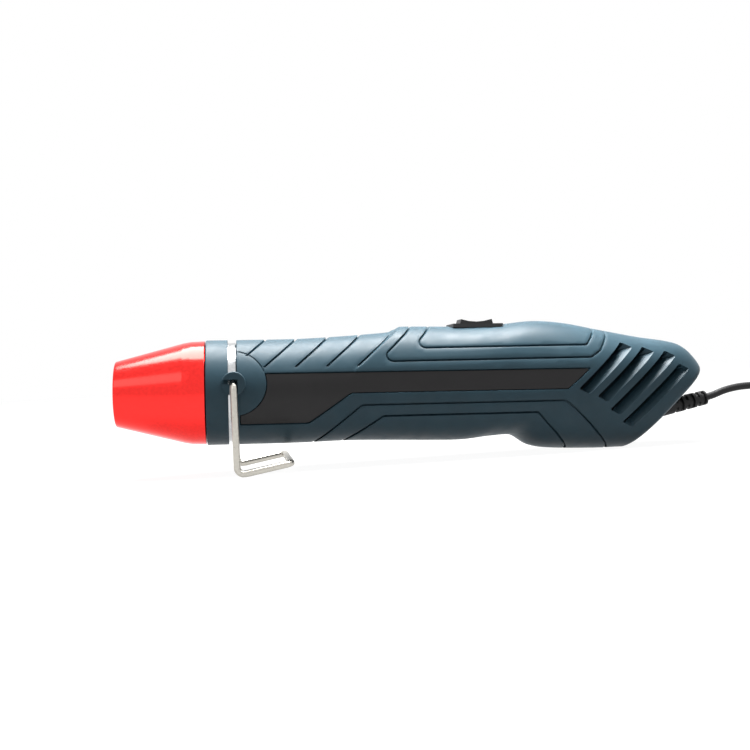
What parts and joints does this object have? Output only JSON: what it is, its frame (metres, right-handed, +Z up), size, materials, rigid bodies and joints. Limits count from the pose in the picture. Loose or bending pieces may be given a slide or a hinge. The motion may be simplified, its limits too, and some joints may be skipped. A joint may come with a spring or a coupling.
{
  "type": "hot air tool",
  "caption": "Slim hand-held hot air tool with a round metal nozzle, a ribbed grip with a rocker switch, side vents, a folding wire stand and a coiled mains cord.",
  "frame": {"origin": "on the surface the tool stands on, under the middle of the tool's box without its cord", "axes": "+X runs from the nozzle to the cord, +Y to the right-hand side of a user behind the tool, +Z up"},
  "size_m": [0.4377, 0.0522, 0.0554],
  "materials": {
    "slate_plastic": "fine-grained moulded slate blue-grey plastic",
    "red_nozzle": "glossy red anodised and lacquered metal",
    "bright_steel": "bright nickel-plated steel",
    "label_black": "satin black plate",
    "heater_steel": "bare steel, slightly browned by heat",
    "motor_steel": "zinc-plated steel",
    "mica": "pressed mica, matt",
    "heating_wire": "dark oxidised heating wire",
    "ceramic": "unglazed white ceramic",
    "fuse_metal": "bare metal can",
    "black_plastic": "black moulded plastic",
    "board_green": "green laminate",
    "capacitor_blue": "blue sleeve",
    "clamp_plastic": "hard fibre board",
    "wire_brown": "brown insulation",
    "wire_blue": "blue insulation",
    "wire_grey": "grey insulation",
    "wire_red": "red insulation",
    "wire_black": "black insulation",
    "cord_rubber": "matt black flexible jacket",
    "plug_black": "moulded black plug, satin",
    "pin_nickel": "nickel-plated brass"
  },
  "bodies": {
    "housing": {"left_housing": "slate_plastic", "right_housing": "slate_plastic", "front_collar": "slate_plastic", "steel_band": "bright_steel", "nozzle": "red_nozzle", "left_pivot_cap": "slate_plastic", "right_pivot_cap": "slate_plastic", "left_label": "label_black", "right_label": "label_black", "housing_screw_1": "bright_steel", "housing_screw_2": "bright_steel", "housing_screw_3": "bright_steel", "housing_screw_4": "bright_steel", "housing_screw_5": "bright_steel", "heater_barrel": "heater_steel", "mica_tube": "mica", "mica_board_upright": "mica", "mica_board_flat": "mica", "heating_coil": "heating_wire", "heater_end_plate": "ceramic", "thermal_fuse": "fuse_metal", "motor_bracket": "black_plastic", "motor_can": "motor_steel", "motor_end_cap": "black_plastic", "motor_screw_1": "bright_steel", "motor_screw_2": "bright_steel", "switch_body": "black_plastic", "circuit_board": "board_green", "diode_1": "black_plastic", "diode_2": "black_plastic", "diode_3": "black_plastic", "diode_4": "black_plastic", "filter_capacitor": "capacitor_blue", "wire_live": "wire_brown", "wire_neutral": "wire_blue", "wire_heater_right": "wire_brown", "wire_heater_left": "wire_grey", "wire_motor_plus": "wire_red", "wire_motor_minus": "wire_black", "strain_relief": "cord_rubber", "inner_cord": "cord_rubber", "cord_clamp": "clamp_plastic", "clamp_screw_1": "bright_steel", "clamp_screw_2": "bright_steel", "cord_lead": "cord_rubber", "cord_coil": "cord_rubber", "cord_tail": "cord_rubber", "cord_tie": "plug_black", "plug_body": "plug_black", "plug_pin_1": "pin_nickel", "plug_pin_2": "pin_nickel"},
    "stand": {"wire_stand": "bright_steel"},
    "rocker": {"rocker_button": "black_plastic"},
    "fan_rotor": {"fan_impeller": "black_plastic", "motor_shaft": "heater_steel", "motor_rotor": "motor_steel"}
  },
  "joints": [
    {"name": "stand_fold", "type": "hinge", "parent": "housing", "child": "stand", "pos_m": [-0.07539, 0, 0.03482], "axis": [0, 1, 0], "range_deg": [0, 87]},
    {"name": "rocker_tip", "type": "hinge", "parent": "housing", "child": "rocker", "pos_m": [0.02279, 0, 0.04992], "axis": [0, 1, 0], "range_deg": [-11, 11]},
    {"name": "fan_spin", "type": "hinge", "parent": "housing", "child": "fan_rotor", "pos_m": [-0.02027, 0, 0.02912], "axis": [0.9992, 0, -0.0398], "continuous": true}
  ]
}
